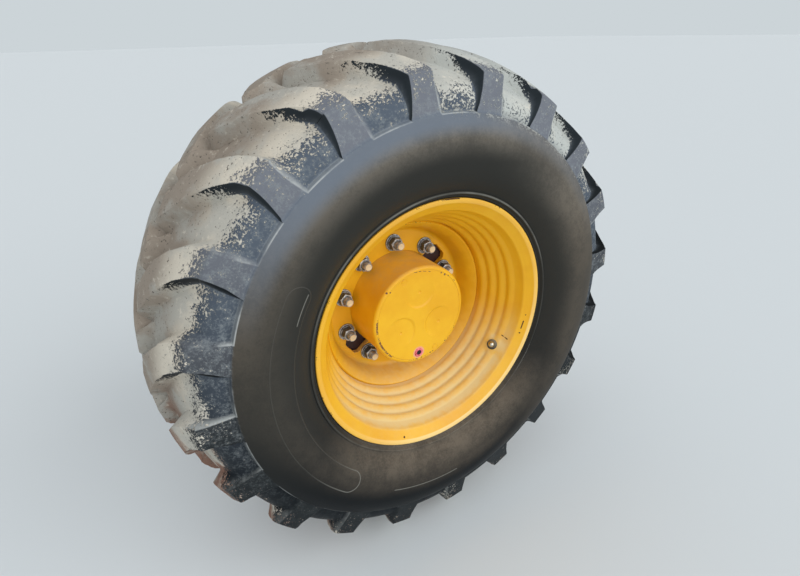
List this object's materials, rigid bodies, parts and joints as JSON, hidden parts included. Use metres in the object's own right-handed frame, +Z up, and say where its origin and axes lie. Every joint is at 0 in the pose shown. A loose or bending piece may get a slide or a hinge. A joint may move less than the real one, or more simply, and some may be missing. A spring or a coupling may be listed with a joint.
{
  "type": "loader rear wheel with hub and axle arm",
  "caption": "Lugged loader tyre on a rolled steel rim and dished disc, studded to a planetary hub that turns on a flanged axle arm.",
  "frame": {"origin": "centre of the axle arm's bolting face, on the axle's centre line", "axes": "+Y inboard along the axle, out of the bolting face; the wheel's outer side faces -Y; +Z up as fitted; +X to the right when looking at the wheel from outside"},
  "size_m": [1.3092, 0.9336, 1.3092],
  "materials": {
    "arm_paint": "yellow enamel on an iron casting",
    "hub_paint": "yellow enamel on an iron casting, chipped at its edge",
    "wheel_paint": "yellow enamel on rolled steel, dusty below",
    "red_paint": "red paint, worn",
    "dark_iron": "oily dark iron",
    "dull_steel": "weathered bare steel",
    "bright_steel": "machined steel",
    "valve_rubber": "moulded rubber",
    "tyre_rubber": "worn rubber with dried mud"
  },
  "bodies": {
    "axle": {"axle_arm": "arm_paint", "breather": "bright_steel", "spindle": "dark_iron", "spindle_bolts": "dull_steel", "dust_ring": "dark_iron"},
    "half_shaft": {"half_shaft": "bright_steel"},
    "wheel": {"tyre": "tyre_rubber", "rim": "wheel_paint", "disc": "wheel_paint", "valve_seat": "valve_rubber", "valve_cap": "bright_steel", "hub": "hub_paint", "hub_cover": "hub_paint", "cover_screws": "hub_paint", "drain_plug": "red_paint", "studs": "dull_steel", "washers": "dull_steel", "nuts": "dull_steel"}
  },
  "joints": [
    {"name": "wheel_spin", "type": "hinge", "parent": "axle", "child": "wheel", "pos_m": [0, -0.6, 0], "axis": [0, 1, 0], "continuous": true},
    {"name": "shaft_spin", "type": "hinge", "parent": "axle", "child": "half_shaft", "pos_m": [0, -0.3, 0], "axis": [0, 1, 0], "continuous": true}
  ],
  "couplings": [
    {"joint": "shaft_spin", "follows": "wheel_spin", "ratio": 6}
  ]
}
